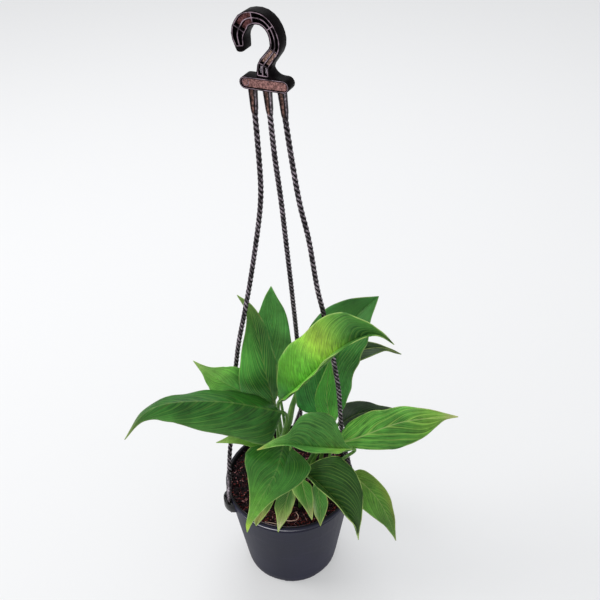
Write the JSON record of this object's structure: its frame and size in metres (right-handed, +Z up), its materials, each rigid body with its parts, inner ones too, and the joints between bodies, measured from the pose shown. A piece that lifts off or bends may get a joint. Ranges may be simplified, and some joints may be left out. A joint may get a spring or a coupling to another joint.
{
  "type": "peace lily in hanging basket",
  "caption": "Peace lily with broad glossy leaves in a round tapered plastic pot, hung by rope-like straps from a moulded hook and bar.",
  "frame": {"origin": "centre of the pot's underside, on the plane it stands on", "axes": "+Z up to the hook, +X to the right in the picture, +Y away from the viewer"},
  "size_m": [0.3324, 0.1752, 0.6643],
  "materials": {
    "pot_plastic": "matte charcoal",
    "soil": "rough coir and bark chips",
    "leaf_green": "waxy satin",
    "hanger_plastic": "satin black"
  },
  "bodies": {
    "root": {"pot": "pot_plastic", "soil": "soil", "hanger_hook": "hanger_plastic", "strap_left": "hanger_plastic", "strap_back": "hanger_plastic", "strap_right": "hanger_plastic", "leaf_left": "leaf_green", "leaf_left_back": "leaf_green", "leaf_tall_back": "leaf_green", "leaf_tall_left": "leaf_green", "leaf_arched": "leaf_green", "leaf_right_tall": "leaf_green", "leaf_right_far": "leaf_green", "leaf_centre": "leaf_green", "leaf_right_back": "leaf_green", "leaf_right": "leaf_green", "leaf_front": "leaf_green", "leaf_front_top": "leaf_green", "leaf_front_right": "leaf_green", "leaf_right_front": "leaf_green", "leaf_under_left": "leaf_green", "leaf_small_front": "leaf_green", "leaf_small_middle": "leaf_green", "leaf_small_right": "leaf_green", "leaf_small_left": "leaf_green"}
  },
  "joints": []
}
